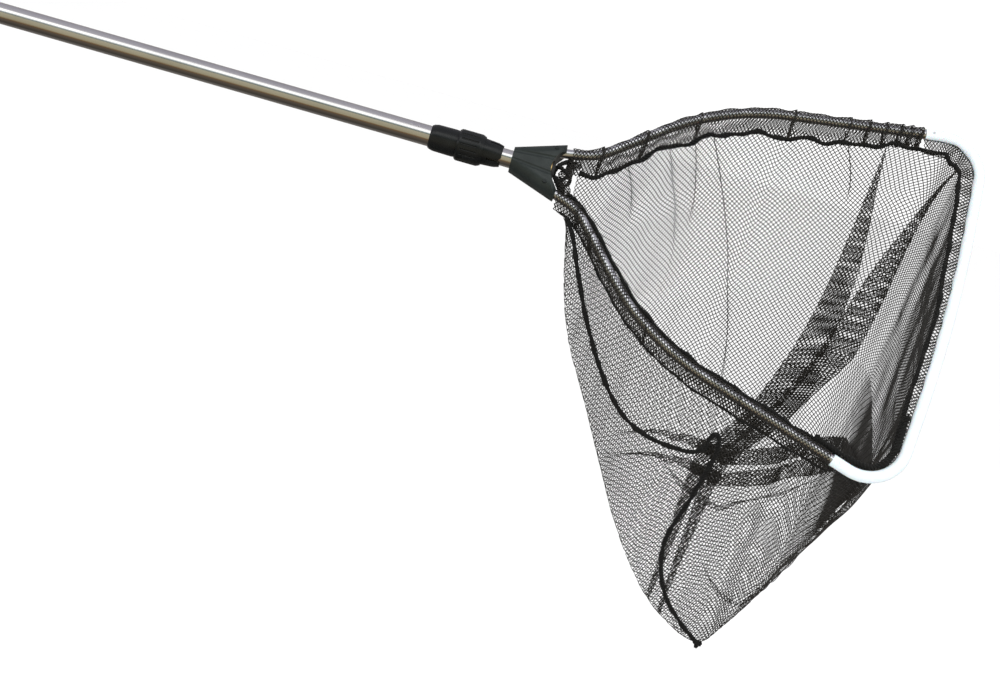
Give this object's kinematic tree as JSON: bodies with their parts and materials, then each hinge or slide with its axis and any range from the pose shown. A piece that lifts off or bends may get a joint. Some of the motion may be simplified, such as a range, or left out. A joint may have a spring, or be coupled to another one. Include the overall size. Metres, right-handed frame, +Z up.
{
  "type": "landing net",
  "caption": "Landing net with a telescopic twist-lock pole, a fan-shaped yoke, a hoop of metal arms with a white front bar, and a hanging mesh bag.",
  "frame": {"origin": "on the pole's axis at the middle of the hand grip", "axes": "+X along the pole towards the hoop, +Z up, so the bag hangs down; the hoop is rolled 60 degrees about the pole, so its mouth faces -Y and up"},
  "size_m": [1.2235, 0.2126, 0.6149],
  "materials": {
    "polished_aluminium": "polished",
    "arm_aluminium": "satin",
    "lock_plastic": "gloss",
    "yoke_plastic": "satin",
    "bush_plastic": "matte",
    "grip_foam": "matte",
    "cap_rubber": "matte",
    "brass_ring": "satin",
    "rivet_steel": "satin",
    "white_plastic": "gloss",
    "netting": "matte",
    "hem_cord": "matte"
  },
  "bodies": {
    "handle": {"end_cap": "cap_rubber", "hand_grip": "grip_foam", "outer_tube": "polished_aluminium", "tube_rivets": "rivet_steel", "collar_body": "lock_plastic", "collet": "lock_plastic"},
    "nut": {"lock_nut": "lock_plastic"},
    "head": {"inner_tube": "polished_aluminium", "guide_bush": "bush_plastic", "yoke": "yoke_plastic", "yoke_pins": "rivet_steel", "ferrule": "brass_ring", "tube_plug": "cap_rubber", "upper_arm": "arm_aluminium", "lower_arm": "arm_aluminium", "front_bar": "white_plastic", "bar_rivets": "rivet_steel", "upper_sleeve": "netting", "lower_sleeve": "netting", "front_hem": "hem_cord", "net_bag": "netting", "bag_knot": "hem_cord"}
  },
  "joints": [
    {"name": "pole_slide", "type": "slide", "parent": "handle", "child": "head", "axis": [1, 0, 0], "range_m": [0, 0.48]},
    {"name": "lock_nut_turn", "type": "hinge", "parent": "handle", "child": "nut", "pos_m": [0.597, 0, 0], "axis": [1, 0, 0], "range_deg": [0, 120]}
  ]
}
